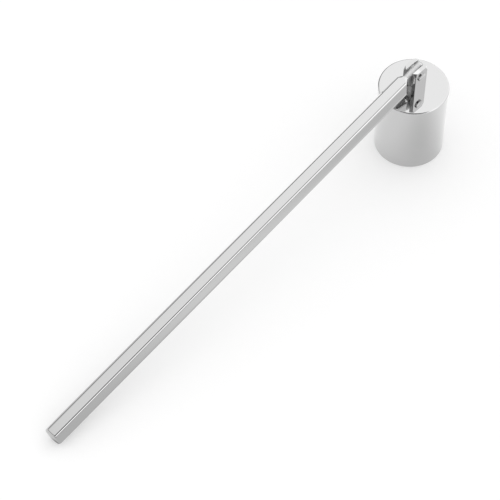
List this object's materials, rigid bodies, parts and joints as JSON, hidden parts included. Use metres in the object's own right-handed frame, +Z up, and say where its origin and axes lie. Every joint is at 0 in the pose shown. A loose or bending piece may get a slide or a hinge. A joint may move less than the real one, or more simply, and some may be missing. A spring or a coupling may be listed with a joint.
{
  "type": "candle snuffer",
  "caption": "Candle snuffer in polished steel: a small cylindrical bell pivots in a clevis on the end of a long hexagonal handle, to cover and put out a candle's flame.",
  "frame": {"origin": "centre of the bell's mouth, in the plane of its rim, which stands on the table", "axes": "+Z up along the bell's axis, +Y along the pivot, and the handle points to -X with its free end on the table"},
  "size_m": [0.2129, 0.0284, 0.0472],
  "materials": {
    "bell_steel": "mirror polished, with a faint turned grain round the side",
    "handle_steel": "polished along the bar",
    "clevis_steel": "polished, with turned corners",
    "fixing_steel": "plain satin"
  },
  "bodies": {
    "head": {"bell": "bell_steel", "clevis": "clevis_steel", "pivot_rivet": "clevis_steel", "washer_near": "fixing_steel", "washer_far": "fixing_steel", "clevis_screw": "fixing_steel", "spring_washer": "fixing_steel"},
    "handle": {"handle_bar": "handle_steel"}
  },
  "joints": [
    {"name": "handle_tilt", "type": "hinge", "parent": "head", "child": "handle", "pos_m": [0, 0, 0.0433], "axis": [0, 1, 0], "range_deg": [-6, 208.6]}
  ]
}
